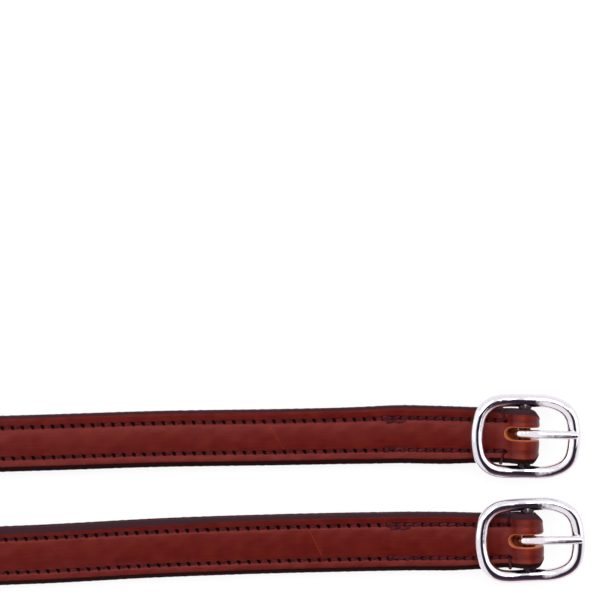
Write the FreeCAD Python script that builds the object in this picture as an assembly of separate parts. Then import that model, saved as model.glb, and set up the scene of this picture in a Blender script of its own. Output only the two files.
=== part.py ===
import FreeCAD, Part
import math
import os

# Pair of lined leather spur straps with centre-bar buckles, in millimetres.
# +X runs from the tips towards the buckles, +Y across the straps, +Z up; the
# straps lie on the plane z = 0. Each strap is laid out from its buckle bar: "run" is the
# distance from the bar towards the tip, so a point of the strap is at x = bar_x - run.

V = FreeCAD.Vector
X_AXIS = V(1, 0, 0)
Y_AXIS = V(0, 1, 0)
Z_AXIS = V(0, 0, 1)

# Strap
WIDTH = 12.7
OUTER_THICK = 2.0
LINING_THICK = 1.6
THICK = OUTER_THICK + LINING_THICK
EDGE_BEVEL = 0.4
ROW_OFFSET = 3.6
GROOVE_WIDTH = 1.0
GROOVE_DEPTH = 0.4
SHOULDER_DROP = 0.3
THREAD_WIDTH = 0.6
HAND_THREAD_WIDTH = 0.8
THREAD_HEIGHT = 0.35
THREAD_LIFT = 0.02
TURN_PROUD = 0.09

# Lengths along the strap, measured from the bar
LOOP_END = 7.0
TURNBACK_END = 34.0
TAIL_START = 240.0
FIRST_HOLE = 262.0
HOLE_PITCH = 13.0
HOLE_COUNT = 10
HOLE_R = 1.6
POINT_START = 392.0
TIP_RUN = 408.0
TIP_HALF_BLUNT = 0.8

# Buckle frame and tongue
BAR_R = 1.4
BAR_Z = 3.5
FRAME_LENGTH = 25.6
FRAME_HEIGHT = 19.7
MEMBER_WIDTH = 3.0
MEMBER_DEPTH = 2.5
FRAME_TILT = 10.0
SADDLE_R = 20.0
# Radii of the frame's side, end and corner: the front half is rounder than the rear
FRONT_RADII = (11.0, 18.0, 5.0)
REAR_RADII = (17.0, 15.0, 5.75)
FLARE_START = 6.5
FLARE_END = 7.6
FLARE_HALF_WIDTH = 2.0
FLARE_HALF_HEIGHT = 0.95
TONGUE_HALF_WIDTH = 1.0
CURL_HALF_WIDTH = 0.7
TONGUE_LOOP_THICK = 1.2
TONGUE_GAP = 0.06
TONGUE_ANGLE = 13.2
TONGUE_BEND = 5.6
TONGUE_LENGTH = 12.0
STEM_HALF_HEIGHT = 0.85
# Nose of the tongue behind its curl: (step back, slope down, half width, half height)
NOSE = [
    (0.0, 13.2, 1.0, 0.6), (0.6, 15.6, 0.98, 0.6), (0.5, 21.5, 0.88, 0.56), (0.4, 29.0, 0.66, 0.45),
    (0.25, 36.5, 0.38, 0.25),
]

# Leather loop round the bar
LOOP_GAP = 0.08
LOOP_INNER_R = BAR_R + LOOP_GAP
LOOP_OUTER_R = BAR_Z
CAVITY_RUN = 5.6
SLOT_HALF = 1.45
SLOT_TOP_RUN = 4.7
SLOT_UNDER_RUN = 3.55
SLOT_LIP_RUN = 1.3
SLOT_LIP_Z = 0.55
WRAP_RUN = (4.5, 5.3)

# Where the two straps lie. Curves are (run, value) pairs: sideways offset of the middle of
# the strap from the bar, roll about its own length, and width. "slot" is how far the tongue
# and its slot sit off the middle of the strap.
STRAPS = {
    "1": {
        "bar": (197.2, 13.3),
        "heading": -1.0,
        "slot": 0.7,
        "offset": [(0, 0.0), (7, 0.12), (22, 0.40), (29, 0.52), (38, 0.24), (57, -0.17), (85, -0.59),
                   (113, -1.47), (170, -3.10), (205, -3.80), (240, -4.0)],
        "roll": [(0, 0.0), (240, 0.0)],
        "width": [(0, 12.7), (7, 12.7), (20, 13.1), (30, 13.1), (46, 12.7), (240, 12.7)],
    },
    "2": {
        "bar": (198.2, -10.9),
        "heading": 2.5,
        "slot": 0.1,
        "offset": [(0, 0.0), (7, -0.34), (12, -0.42), (20, -0.36), (30, -0.36), (58, -0.92), (86, -1.88),
                   (116, -3.45), (170, -5.30), (205, -5.85), (240, -6.0)],
        "roll": [(0, 0.0), (7, 0.0), (13, 0.2), (29, 2.0), (52, 4.0), (125, 5.0), (205, 2.0), (240, 0.0)],
        "width": [(0, 12.7), (7, 12.7), (20, 13.15), (120, 13.2), (240, 12.7)],
    },
}
STATIONS = [6.9, 12, 18, 26, 34, 46, 58, 70, 82, 94, 106, 118, 130, 144, 158, 172, 186, 198, 208,
            218, 227, 234, 240]


def smooth(knots, run):
    """Value and slope at run of a smooth curve through the knots."""
    count = len(knots)
    run = min(max(run, knots[0][0]), knots[-1][0])
    slopes = []
    for i in range(count):
        a = knots[max(i - 1, 0)]
        b = knots[min(i + 1, count - 1)]
        inside = 0 < i < count - 1
        slopes.append((b[1] - a[1]) / (b[0] - a[0]) if inside else 0.0)
    for i in range(count - 1):
        if run <= knots[i + 1][0]:
            break
    span = knots[i + 1][0] - knots[i][0]
    t = (run - knots[i][0]) / span
    first, last = knots[i][1], knots[i + 1][1]
    value = (
        (2 * t ** 3 - 3 * t ** 2 + 1) * first
        + (t ** 3 - 2 * t ** 2 + t) * span * slopes[i]
        + (3 * t ** 2 - 2 * t ** 3) * last
        + (t ** 3 - t ** 2) * span * slopes[i + 1]
    )
    slope = (
        (6 * t ** 2 - 6 * t) * (first - last) / span
        + (3 * t ** 2 - 4 * t + 1) * slopes[i]
        + (3 * t ** 2 - 2 * t) * slopes[i + 1]
    )
    return value, slope


def station_frame(strap, run):
    """Middle of the strap at run, with its sideways and upward directions."""
    offset, slope = smooth(strap["offset"], run)
    roll = math.radians(smooth(strap["roll"], run)[0])
    heading = -math.atan(slope)
    if run <= LOOP_END:
        heading = math.radians(strap["heading"])
    width = smooth(strap["width"], run)[0]
    height = 0.5 * THICK * math.cos(roll) + 0.5 * width * abs(math.sin(roll))
    middle = V(strap["bar"][0] - run, strap["bar"][1] + offset, height)
    level = V(-math.sin(heading), math.cos(heading), 0)
    across = level * math.cos(roll) + Z_AXIS * math.sin(roll)
    upward = Z_AXIS * math.cos(roll) - level * math.sin(roll)
    return middle, across, upward


def loft_section(strap, outline, first, last):
    """Solid through the outline (across, height above the underside) at each station."""
    wires = []
    for run in STATIONS:
        if first <= run <= last:
            middle, across, upward = station_frame(strap, run)
            width_scale = smooth(strap["width"], run)[0] / WIDTH
            points = [
                middle + across * (u * width_scale) + upward * (v - 0.5 * THICK)
                for u, v in outline
            ]
            wires.append(Part.makePolygon(points + [points[0]]))
    return Part.makeLoft(wires, True, False)


def extrude_section(strap, outline, start, end):
    """The same outline along the straight tail, between two runs."""
    middle, across, upward = station_frame(strap, TAIL_START)
    x = strap["bar"][0]
    points = [
        V(x - start, 0, 0) + V(0, middle.y, middle.z) + across * u + upward * (v - 0.5 * THICK)
        for u, v in outline
    ]
    face = Part.Face(Part.makePolygon(points + [points[0]]))
    return face.extrude(V(start - end, 0, 0))


# ---- cross-sections, as (across, height) outlines ----

def mirrored(half):
    """Full outline from its +across half, listed from the middle outwards and back."""
    return half + [(-u, v) for u, v in reversed(half) if u > 0]


def top_half(base):
    """Crowned top of the strap, with a stitch groove, down to height base."""
    half = 0.5 * WIDTH
    inner = ROW_OFFSET - 0.5 * GROOVE_WIDTH
    outer = ROW_OFFSET + 0.5 * GROOVE_WIDTH
    shoulder = THICK - SHOULDER_DROP
    floor = shoulder - GROOVE_DEPTH
    return [
        (0, THICK), (1.7, THICK - 0.08), (inner, shoulder), (inner, floor), (outer, floor),
        (outer, shoulder), (half - EDGE_BEVEL, shoulder), (half, shoulder - EDGE_BEVEL), (half, base),
    ]


def under_half():
    """Flat underside with a stitch groove, from the side wall to the middle."""
    half = 0.5 * WIDTH
    inner = ROW_OFFSET - 0.5 * GROOVE_WIDTH
    outer = ROW_OFFSET + 0.5 * GROOVE_WIDTH
    return [
        (half, EDGE_BEVEL), (half - EDGE_BEVEL, 0), (outer, 0), (outer, GROOVE_DEPTH),
        (inner, GROOVE_DEPTH), (inner, 0),
    ]


def outer_outline():
    """Outer leather only."""
    return mirrored(top_half(LINING_THICK))


def lining_outline():
    """Lining only."""
    return mirrored([(0, LINING_THICK), (0.5 * WIDTH, LINING_THICK)] + under_half())


def doubled_outline():
    """Outer leather with its turned-back end glued under it."""
    return mirrored(top_half(LINING_THICK) + under_half())


def strand_outline(side, width, on_top):
    """One thread strand lying in its groove, just clear of the groove's floor."""
    middle = side * ROW_OFFSET
    if on_top:
        low = THICK - SHOULDER_DROP - GROOVE_DEPTH + THREAD_LIFT
    else:
        low = GROOVE_DEPTH - THREAD_LIFT - THREAD_HEIGHT
    high = low + THREAD_HEIGHT
    half = 0.5 * width
    return [(middle - half, low), (middle + half, low), (middle + half, high), (middle - half, high)]


# ---- the folded end round the bar ----
# Built with the bar axis above the origin and the strap running towards -X.

LOOP_RISE = 2 * BAR_Z - THICK
BEND_R = (LOOP_END ** 2 + LOOP_RISE ** 2) / (4 * LOOP_RISE)
BEND_TURN = math.degrees(math.asin(0.5 * LOOP_END / BEND_R))
LOW_CENTRE = (-LOOP_END, THICK + BEND_R)
HIGH_CENTRE = (0.0, 2 * BAR_Z - BEND_R)


def side_arc(centre, radius, start, end):
    """Arc in the XZ plane between two angles in degrees."""
    points = []
    for angle in (start, 0.5 * (start + end), end):
        a = math.radians(angle)
        points.append(V(centre[0] + radius * math.cos(a), 0, centre[1] + radius * math.sin(a)))
    return Part.Arc(*points).toShape()


def side_prism(edges, half_width):
    """Solid as wide as the strap from a closed side outline."""
    face = Part.Face(Part.Wire(Part.__sortEdges__(edges)))
    face.translate(V(0, -half_width, 0))
    return face.extrude(V(0, 2 * half_width, 0))


def fold_prism(grow):
    """Filled side shape of the folded end, grown outwards on top by grow."""
    top_start = V(-LOOP_END, 0, THICK + grow)
    foot = V(-LOOP_END, 0, -grow)
    edges = [
        side_arc(LOW_CENTRE, BEND_R - grow, -90, -90 + BEND_TURN),
        side_arc(HIGH_CENTRE, BEND_R + grow, 90 + BEND_TURN, 90),
        side_arc((0, BAR_Z), LOOP_OUTER_R + grow, 90, -90),
        Part.makeLine(V(0, 0, -grow), foot),
        Part.makeLine(foot, top_start),
    ]
    return side_prism(edges, WIDTH)


def cavity_prism():
    """Opening inside the fold, which narrows to the glue line."""
    thick = LOOP_OUTER_R - LOOP_INNER_R
    low_r = BEND_R + thick
    reach = LOOP_END - CAVITY_RUN
    start = -90 + math.degrees(math.asin(reach / low_r))
    mouth = V(-CAVITY_RUN, 0, LOW_CENTRE[1] - math.sqrt(low_r ** 2 - reach ** 2))
    foot = V(-CAVITY_RUN, 0, LINING_THICK + 0.05)
    edges = [
        side_arc(LOW_CENTRE, low_r, start, -90 + BEND_TURN),
        side_arc(HIGH_CENTRE, BEND_R - thick, 90 + BEND_TURN, 90),
        side_arc((0, BAR_Z), LOOP_INNER_R, 90, -90),
        Part.makeLine(V(0, 0, BAR_Z - LOOP_INNER_R), foot),
        Part.makeLine(foot, mouth),
    ]
    return side_prism(edges, WIDTH)


def slab(x0, x1, y0, y1, z0, z1):
    """Box from its two corners."""
    return Part.makeBox(x1 - x0, y1 - y0, z1 - z0, V(x0, y0, z0))


def plan_prism(points, z0, z1):
    """Upright prism from a plan outline."""
    corners = [V(x, y, z0) for x, y in points]
    return Part.Face(Part.makePolygon(corners + [corners[0]])).extrude(V(0, 0, z1 - z0))


def round_ended_slot(run, z0, z1):
    """Slot from beyond the bar to a rounded end at run, between two heights."""
    end = -run + SLOT_HALF
    straight = slab(end, 5, -SLOT_HALF, SLOT_HALF, z0, z1)
    return straight.fuse(Part.makeCylinder(SLOT_HALF, z1 - z0, V(end, 0, z0)))


def tongue_slot():
    """Slot that lets the tongue through the fold; a thin lip closes in under the curl."""
    upper = round_ended_slot(SLOT_TOP_RUN, BAR_Z, 9)
    lower = round_ended_slot(SLOT_UNDER_RUN, SLOT_LIP_Z, BAR_Z)
    return upper.fuse([lower, round_ended_slot(SLOT_LIP_RUN, -1, SLOT_LIP_Z)])


def lane(side, width, start, end):
    """Plan strip over one stitch row near the fold, full height."""
    middle = side * ROW_OFFSET
    return slab(-end, -start, middle - 0.5 * width, middle + 0.5 * width, -2, 9)


def fold_groove(side):
    """Stitch groove, top and underside, where the row climbs onto the fold."""
    floor = SHOULDER_DROP + GROOVE_DEPTH
    upper = fold_prism(0.2).cut(fold_prism(-floor)).common(slab(-20, 5, -9, 9, BAR_Z - 0.9, 9))
    strip = lane(side, GROOVE_WIDTH, WRAP_RUN[0], LOOP_END + 0.5)
    under = strip.common(slab(-20, 5, -9, 9, -1, GROOVE_DEPTH))
    return upper.common(strip).fuse(under)


def fold_thread(side, half_width):
    """End of the hand stitching: both strands and the turn of thread over the edge."""
    floor = SHOULDER_DROP + GROOVE_DEPTH
    skin = fold_prism(THREAD_HEIGHT - floor).cut(fold_prism(-floor))
    strip = lane(side, HAND_THREAD_WIDTH, WRAP_RUN[0], LOOP_END)
    upper = skin.common(strip).common(slab(-20, 5, -9, 9, BAR_Z - 0.9, 9))
    low, high = GROOVE_DEPTH - THREAD_HEIGHT, GROOVE_DEPTH
    under = strip.common(slab(-20, 5, -9, 9, low, high))
    inner = ROW_OFFSET - 0.5 * HAND_THREAD_WIDTH
    outer = half_width + TURN_PROUD
    start, end = sorted((side * inner, side * outer))
    band = slab(-WRAP_RUN[1], -WRAP_RUN[0], start, end, low, 9)
    filled = fold_prism(0.05)
    core_start, core_end = sorted((0, side * (half_width - THREAD_HEIGHT)))
    core = fold_prism(-floor).common(slab(-9, 5, core_start, core_end, high, 9))
    turn = filled.common(band).cut(core)
    return upper.fuse([under, turn]).removeSplitter()


def folded_end(half_width, slot_shift):
    """Leather wrapped round the bar, before the threads are taken out of it."""
    body = fold_prism(0).common(
        plan_prism(
            [(-LOOP_END, -half_width), (0, -half_width), (2.3, -half_width + 0.05),
             (3.6, -half_width + 1.3), (3.6, half_width - 1.3), (2.3, half_width - 0.05),
             (0, half_width), (-LOOP_END, half_width)],
            -1, 9,
        )
    )
    slot = tongue_slot()
    slot.translate(V(0, slot_shift, 0))
    body = body.cut(cavity_prism()).cut(slot)
    for side in (1, -1):
        body = body.cut(fold_groove(side))
    return body


# ---- the pointed tail ----

def tail_point(strap, run, y):
    """Plan position on the straight tail."""
    middle = station_frame(strap, TAIL_START)[0]
    return V(strap["bar"][0] - run, middle.y + y, 0)


def point_radius():
    """Radius of the two arcs that draw the strap in to its tip."""
    length = TIP_RUN - POINT_START
    drop = 0.5 * WIDTH - TIP_HALF_BLUNT
    return (length ** 2 + drop ** 2) / (2 * drop)


def trim_point(shape, strap):
    """Cut the end of the tail to its rounded point."""
    radius = point_radius()
    keep = tip_ring(strap, 1, 0.0, radius, -1, 9).common(tip_ring(strap, -1, 0.0, radius, -1, 9))
    end_x = strap["bar"][0] - TIP_RUN
    start_x = strap["bar"][0] - POINT_START
    block = slab(end_x - 2, start_x, -60, 60, -1, 9)
    nose = slab(end_x, start_x, -60, 60, -1, 9)
    return shape.cut(block.cut(keep.common(nose)))


def tip_ring(strap, side, inner_r, outer_r, z0, z1):
    """Upright ring about the centre of the arc on one side of the point."""
    centre = tail_point(strap, POINT_START, side * (0.5 * WIDTH - point_radius()))
    centre.z = z0
    ring = Part.makeCylinder(outer_r, z1 - z0, centre)
    if inner_r > 0:
        ring = ring.cut(Part.makeCylinder(inner_r, z1 - z0, centre))
    return ring


def tip_row(strap, side, width, z0, z1):
    """Stretch of a stitch row, of the given width, that follows the point of the strap."""
    middle_r = point_radius() - 0.5 * WIDTH + ROW_OFFSET
    ring = tip_ring(strap, side, middle_r - 0.5 * width, middle_r + 0.5 * width, z0, z1)
    near = tail_point(strap, TIP_RUN, side * 0.35)
    far = tail_point(strap, POINT_START, side * 9)
    y0, y1 = sorted((near.y, far.y))
    return ring.common(slab(near.x, far.x, y0, y1, z0, z1))


def tail_holes(strap):
    """Row of adjusting holes."""
    holes = []
    for i in range(HOLE_COUNT):
        centre = tail_point(strap, FIRST_HOLE + i * HOLE_PITCH, 0)
        centre.z = -1
        holes.append(Part.makeCylinder(HOLE_R, 9, centre))
    return holes[0].multiFuse(holes[1:])


def plain_outline(full):
    """The outline with its stitch grooves filled in."""
    inner = ROW_OFFSET - 0.5 * GROOVE_WIDTH
    outer = ROW_OFFSET + 0.5 * GROOVE_WIDTH
    return [p for p in full if not any(abs(abs(p[0]) - edge) < 1e-6 for edge in (inner, outer))]


def layer(strap, outline, start):
    """One leather layer from start to the tip, with point, grooves and holes."""
    body = loft_section(strap, outline, start, TAIL_START)
    straight = extrude_section(strap, outline, TAIL_START, POINT_START)
    tip = extrude_section(strap, plain_outline(outline), POINT_START, TIP_RUN + 1)
    tip = trim_point(tip, strap)
    for side in (1, -1):
        tip = tip.cut(tip_row(strap, side, GROOVE_WIDTH, THICK - SHOULDER_DROP - GROOVE_DEPTH, 9))
        tip = tip.cut(tip_row(strap, side, GROOVE_WIDTH, -1, GROOVE_DEPTH))
    straight = straight.cut(tail_holes(strap))
    return body.fuse([straight, tip]).removeSplitter()


# ---- the pieces of one strap ----

def place(shape, strap):
    """Move a shape built round the bar to its strap."""
    moved = shape.copy()
    moved.rotate(V(0, 0, 0), Z_AXIS, strap["heading"])
    moved.translate(V(strap["bar"][0], strap["bar"][1], 0))
    return moved


def outer_leather(strap, threads):
    """Outer leather: tail, doubled part and the fold round the bar, in one piece."""
    body = layer(strap, outer_outline(), TURNBACK_END)
    doubled = loft_section(strap, doubled_outline(), STATIONS[0], TURNBACK_END)
    fold = place(folded_end(0.5 * WIDTH, strap["slot"]), strap)
    body = body.fuse([doubled, fold])
    for thread in threads:
        body = body.cut(thread)
    return body.removeSplitter()


def machine_thread(strap, side, on_top):
    """One long row of machine stitching, drawn as a single strand in its groove."""
    outline = strand_outline(side, THREAD_WIDTH, on_top)
    low = min(v for u, v in outline)
    high = max(v for u, v in outline)
    curved = loft_section(strap, outline, TURNBACK_END, TAIL_START)
    straight = extrude_section(strap, outline, TAIL_START, POINT_START)
    tip = tip_row(strap, side, THREAD_WIDTH, low, high)
    return curved.fuse([straight, tip]).removeSplitter()


def hand_thread(strap, side):
    """Hand stitching that closes the fold: top and under strand and the turn over the edge."""
    upper = loft_section(strap, strand_outline(side, HAND_THREAD_WIDTH, True), STATIONS[0], TURNBACK_END)
    under = loft_section(strap, strand_outline(side, HAND_THREAD_WIDTH, False), STATIONS[0], TURNBACK_END)
    end = place(fold_thread(side, 0.5 * WIDTH), strap)
    return end.fuse([upper, under]).removeSplitter()


def ellipse_face(centre, wide, deep):
    """Ellipse face from its centre and its two half-axis vectors."""
    if wide.Length < deep.Length:
        wide, deep = deep, wide
    if abs(wide.Length - deep.Length) < 1e-6:
        normal = wide.cross(deep)
        edge = Part.Circle(centre, normal, wide.Length).toShape()
    else:
        edge = Part.Ellipse(centre + wide, centre + deep, centre).toShape()
    return Part.Face(Part.Wire([edge]))


def frame_half(side_r, cross_r, corner_r):
    """One tilted half of the frame, laid flat and starting at x = 0."""
    saddle_reach = SADDLE_R * math.sin(math.radians(FRAME_TILT))
    reach = (0.5 * (FRAME_LENGTH - MEMBER_WIDTH) - saddle_reach) / math.cos(math.radians(FRAME_TILT))
    half = 0.5 * (FRAME_HEIGHT - MEMBER_WIDTH)
    side_centre = V(0, half - side_r, 0)
    cross_centre = V(reach - cross_r, 0, 0)
    between = cross_centre - side_centre
    first = side_r - corner_r
    second = cross_r - corner_r
    along = (first ** 2 - second ** 2 + between.Length ** 2) / (2 * between.Length)
    rise = math.sqrt(first ** 2 - along ** 2)
    unit = between * (1 / between.Length)
    corner = side_centre + unit * along + V(unit.y, -unit.x, 0) * rise
    side_end = math.degrees(math.atan2(corner.y - side_centre.y, corner.x - side_centre.x))
    cross_end = math.degrees(math.atan2(corner.y - cross_centre.y, corner.x - cross_centre.x))
    arcs = [(cross_centre, cross_r, -cross_end, cross_end)]
    for side in (1, -1):
        for centre, radius, start, end in (
            (side_centre, side_r, side_end, 90.0),
            (corner, corner_r, cross_end, side_end),
        ):
            centre = V(centre.x, side * centre.y, 0)
            span = (start, end) if side > 0 else (-end, -start)
            arcs.append((centre, radius) + span)
    members = []
    for centre, radius, start, end in arcs:
        a = math.radians(start)
        outward = V(math.cos(a), math.sin(a), 0)
        section = ellipse_face(
            centre + outward * radius, outward * (0.5 * MEMBER_WIDTH), Z_AXIS * (0.5 * MEMBER_DEPTH)
        )
        members.append(section.revolve(centre, Z_AXIS, end - start))
    return members


def buckle_frame():
    """Oval frame, dipping at the middle, with its bar and the flares where they meet."""
    tilt = math.radians(FRAME_TILT)
    saddle_x = SADDLE_R * math.sin(tilt)
    saddle_z = SADDLE_R * (1 - math.cos(tilt))
    half = 0.5 * (FRAME_HEIGHT - MEMBER_WIDTH)
    pieces = []
    for radii, is_rear in ((FRONT_RADII, False), (REAR_RADII, True)):
        for member in frame_half(*radii):
            member.rotate(V(0, 0, 0), Y_AXIS, -FRAME_TILT)
            member.translate(V(saddle_x, 0, saddle_z))
            pieces.append(member.mirror(V(0, 0, 0), X_AXIS) if is_rear else member)
    for side in (1, -1):
        section = ellipse_face(
            V(0, side * half, 0), Y_AXIS * (0.5 * MEMBER_WIDTH), Z_AXIS * (0.5 * MEMBER_DEPTH)
        )
        section.rotate(V(0, 0, SADDLE_R), Y_AXIS, FRAME_TILT)
        pieces.append(section.revolve(V(0, 0, SADDLE_R), -Y_AXIS, 2 * FRAME_TILT))
        taper = Part.makeCone(
            BAR_R, FLARE_HALF_HEIGHT, FLARE_END - FLARE_START, V(0, side * FLARE_START, 0), Y_AXIS * side
        )
        narrow = ellipse_face(
            V(0, side * (FLARE_START - 0.1), 0), X_AXIS * (BAR_R - 0.05), Z_AXIS * (BAR_R - 0.1)
        )
        broad = ellipse_face(
            V(0, side * FLARE_END, 0), X_AXIS * FLARE_HALF_WIDTH, Z_AXIS * (FLARE_HALF_HEIGHT - 0.1)
        )
        pieces.append(taper)
        pieces.append(Part.makeLoft([narrow.OuterWire, broad.OuterWire], True, True))
    pieces.append(Part.makeCylinder(BAR_R, 2 * FLARE_START, V(0, -FLARE_START, 0), Y_AXIS))
    frame = pieces[0].multiFuse(pieces[1:]).removeSplitter()
    frame.translate(V(0, 0, BAR_Z))
    return frame


def buckle_tongue(shift):
    """Tongue: a loop closed round the bar and a stem that lies over the end of the frame."""
    loop_half = 0.5 * TONGUE_LOOP_THICK
    loop_r = BAR_R + TONGUE_GAP + loop_half
    start = math.radians(90 + TONGUE_ANGLE)
    outward = V(math.cos(start), 0, math.sin(start))
    section = ellipse_face(outward * loop_r, Y_AXIS * CURL_HALF_WIDTH, outward * loop_half)
    loop = section.revolve(V(0, 0, 0), -Y_AXIS, 250)
    centre = outward * loop_r
    wires = []
    for back, slope, half_width, half_height in NOSE:
        down = math.radians(slope)
        centre = centre + V(-math.cos(down), 0, -math.sin(down)) * back
        normal = V(-math.sin(down), 0, math.cos(down))
        wires.append(ellipse_face(centre, Y_AXIS * half_width, normal * half_height).OuterWire)
    nose = Part.makeLoft(wires, True, False)
    bend = math.radians(TONGUE_BEND)
    bend_r = TONGUE_LENGTH / bend
    wires = []
    steps = 10
    for i in range(steps + 1):
        share = i / steps
        swell = min(1.0, share * 3.0)
        taper = max(0.0, share - 0.7) / 0.3
        normal_angle = start - bend * share
        normal = V(math.cos(normal_angle), 0, math.sin(normal_angle))
        centre = outward * (loop_r - bend_r) + normal * bend_r
        half_width = TONGUE_HALF_WIDTH + (STEM_HALF_HEIGHT - TONGUE_HALF_WIDTH) * taper ** 2
        half_height = loop_half + (STEM_HALF_HEIGHT - loop_half) * swell
        wires.append(ellipse_face(centre, Y_AXIS * half_width, normal * half_height).OuterWire)
    stem = Part.makeLoft(wires, True, False)
    tip = Part.makeSphere(STEM_HALF_HEIGHT, centre)
    tongue = stem.fuse([loop, nose, tip]).removeSplitter()
    tongue.translate(V(0, shift, BAR_Z))
    return tongue


def save(shape, name):
    """Write one piece as its own file."""
    shape.exportStep("parts/" + name + ".step")


def build_strap(name, strap):
    """Make and save every piece of one strap."""
    hand = {"far": hand_thread(strap, 1), "near": hand_thread(strap, -1)}
    save(outer_leather(strap, hand.values()), "outer_leather_" + name)
    save(layer(strap, lining_outline(), TURNBACK_END), "lining_leather_" + name)
    for row, side in (("far", 1), ("near", -1)):
        save(hand[row], "turnback_thread_" + row + "_" + name)
        save(machine_thread(strap, side, True), "needle_thread_" + row + "_" + name)
        save(machine_thread(strap, side, False), "bobbin_thread_" + row + "_" + name)
    save(place(buckle_frame(), strap), "buckle_frame_" + name)
    save(place(buckle_tongue(strap["slot"]), strap), "buckle_tongue_" + name)


os.makedirs("parts", exist_ok=True)
for strap_name, strap_data in STRAPS.items():
    build_strap(strap_name, strap_data)
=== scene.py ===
import math

import bmesh
import bpy
import numpy as np
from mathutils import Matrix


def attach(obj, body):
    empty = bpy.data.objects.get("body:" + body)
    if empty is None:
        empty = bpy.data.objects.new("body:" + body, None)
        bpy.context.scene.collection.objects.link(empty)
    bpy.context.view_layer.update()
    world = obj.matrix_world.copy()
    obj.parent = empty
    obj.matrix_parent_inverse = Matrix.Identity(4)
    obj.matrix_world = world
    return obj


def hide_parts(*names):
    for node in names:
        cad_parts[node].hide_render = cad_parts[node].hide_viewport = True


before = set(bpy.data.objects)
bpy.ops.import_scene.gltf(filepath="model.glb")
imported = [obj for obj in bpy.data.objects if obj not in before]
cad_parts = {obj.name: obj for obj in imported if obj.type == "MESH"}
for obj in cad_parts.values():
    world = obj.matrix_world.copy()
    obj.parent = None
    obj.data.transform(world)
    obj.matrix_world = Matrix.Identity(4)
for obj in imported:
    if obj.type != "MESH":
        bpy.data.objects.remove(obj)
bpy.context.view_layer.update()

# Pair of leather spur straps. Lengths are in millimetres until a mesh is made, when
# MM turns them into metres. "run" is the distance along a strap from its buckle bar,
# and "across" is the distance from its middle line, towards +Y.

MM = 0.001
SEED = 7
ROW_STEP = 0.42
OUTER_COLUMNS = (38, 6)
LINING_COLUMNS = (20, 4)

# Strap
WIDTH = 12.7
OUTER_THICK = 2.0
LINING_THICK = 1.6
THICK = OUTER_THICK + LINING_THICK
ROW_OFFSET = 3.6
NEAR_EDGE_ROUND = 1.15
FOLD_EDGE_ROUND = 1.2
UNDER_EDGE_ROUND = 0.4
NEAR_SPREAD = 0.35
CROWN_DROP = 0.42
MARGIN_RISE = 0.22
EDGE_MASK_REACH = 0.3
WALL_BULGE = 0.05
FOOT_HEIGHT = 0.12
FOOT_INSET = 0.13
EDGE_EASE_RUNS = (4.0, 11.0)
SPREAD_EASE_RUN = 8.0

# Marks in the leather: grooves under the stitches, the slot's raw rim, awl holes coloured with painted
# shadow, and a band with a painted highlight on the crest over the bar
GROOVE_DEEP = 0.24
GROOVE_HALF = 0.42
BEAT_DEEP = 0.06
PUCKER_DEEP = 0.035
PUCKER_HALF = 1.1
RIM_DEEP = 0.2
RIM_FADE = 0.22
RIM_WIDTH = 0.20
HOLE_LONG = 0.62
HOLE_SHORT = 0.42
CREST_HIGHLIGHT_RUN = 0.8
CREST_HIGHLIGHT_HALF = 1.5

# Unevenness of the outline: height, then rate and phase of two waves that are multiplied
EDGE_WAVES = ((0.025, 3.1, 0.0, 0.83, 1.0), (0.03, 4.9, 0.4, 1.9, 2.0))

# Unevenness of the surface: height, rate along, rate across, phase
SURFACE_WAVES = ((0.035, 0.21, 0.5, 0.8), (0.022, 0.47, -0.9, 0.0), (0.014, 1.13, 1.7, 2.1))

# Lengths along the strap
LOOP_END = 7.0
SLOT_AREA_END = 8.0
TURNBACK_END = 34.0
FIRST_HOLE = 262.0
HOLE_PITCH = 13.0
HOLE_COUNT = 10
HOLE_R = 1.6
POINT_START = 392.0
TIP_RUN = 408.0
TIP_HALF_BLUNT = 0.8

# Fold round the bar
BAR_Z = 3.5
LOOP_INNER_R = 1.48
LOOP_OUTER_R = 3.5
FOLD_MIDDLE_R = 2.5
CAVITY_RUN = 5.6
FOLD_TURNS = 44
FOLD_STEP = 0.16
FOLD_REACHES = (0.0, 2.2, 2.5, 3.6)
FOLD_HALF_WIDTHS = (6.35, 6.3, 6.1, 5.05)
SLOT_HALF = 1.45
SLOT_TOP_RUN = 4.7
SLOT_UNDER_RUN = 3.55
SLOT_LIP_RUN = 1.3
SLOT_LIP_Z = 0.55

# Stitching: SPAN is where along its pitch a stitch starts and how much of the pitch it covers
MACHINE_PITCH = 2.35
MACHINE_START = 30.2
HAND_PITCH = 2.0
HAND_START = 4.9
HAND_END = 33.6
MACHINE_R = 0.31
MACHINE_SPAN = (0.17, 0.66)
MACHINE_STEPS = 12
MACHINE_SPREAD = 0.03
MACHINE_SLANT = 0.17
MACHINE_SINK = 0.34
MACHINE_ARCH = 0.36
MACHINE_TWIST = 1.3
HAND_R = 0.36
HAND_SPAN = (0.05, 0.9)
HAND_STEPS = 11
HAND_SPREAD = 0.035
HAND_SLANT = 0.26
HAND_UNDER_SLANT = 0.05
HAND_SINK = 0.36
HAND_ARCH = 0.44
HAND_TWIST = 1.4
TACK_TWIST = 1.3
PLY_DEEP = 0.22
LOOSE_PLY_DEEP = 0.2
TURN_BULGE = 0.42
UNDER_RELIEF = 0.6

# Extra thread where the rows overlap: shift from the row, first and last run of each, knots
BACK_TACKS = {
    1: (-0.75, ((27.6, 30.0), (29.9, 32.2)), (32.4,)),
    -1: (0.25, ((28.4, 30.3), (30.2, 31.9)), (28.2, 32.2)),
}
KNOT_R = 0.34
KNOT_TURNS = 1.4

# How far the painted shade on the bar reaches from the middle of the bar: towards the ends of the frame,
# outwards
BAR_SHADE_BESIDE = 2.5
BAR_SHADE_OUTWARD = 7.7

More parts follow.
